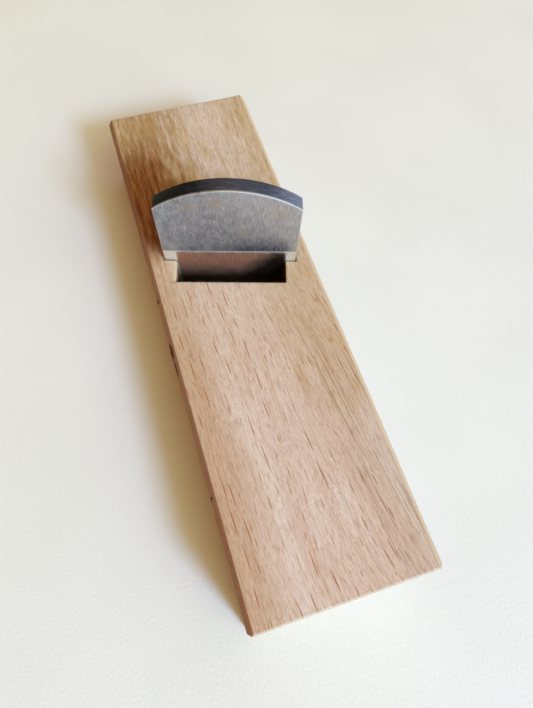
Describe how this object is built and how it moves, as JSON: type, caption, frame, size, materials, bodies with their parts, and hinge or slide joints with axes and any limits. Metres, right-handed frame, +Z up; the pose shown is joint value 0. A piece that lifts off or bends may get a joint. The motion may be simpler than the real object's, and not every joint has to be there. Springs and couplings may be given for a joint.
{
  "type": "wooden scraper plane",
  "caption": "Japanese-style wooden hand plane: oak block with a skewed throat and a thick laminated iron that stands upright, its arched head rising above the block.",
  "frame": {"origin": "centre of the block's sole, which is what the plane rests on", "axes": "+Z up out of the sole, +Y from the toe (the longer end, in front of the throat) to the heel, +X to the right when looking from toe to heel"},
  "size_m": [0.06, 0.205, 0.0703],
  "materials": {
    "oak": "bare planed oak, lightly handled",
    "soft_iron": "brushed, dark forged head",
    "hard_steel": "polished"
  },
  "bodies": {
    "block": {"plane_block": "oak"},
    "blade": {"blade_soft_iron": "soft_iron", "blade_hard_steel": "hard_steel"}
  },
  "joints": [
    {"name": "blade_slide", "type": "slide", "parent": "block", "child": "blade", "axis": [0, 0, 1], "range_m": [-0.0008, 0.04]}
  ]
}
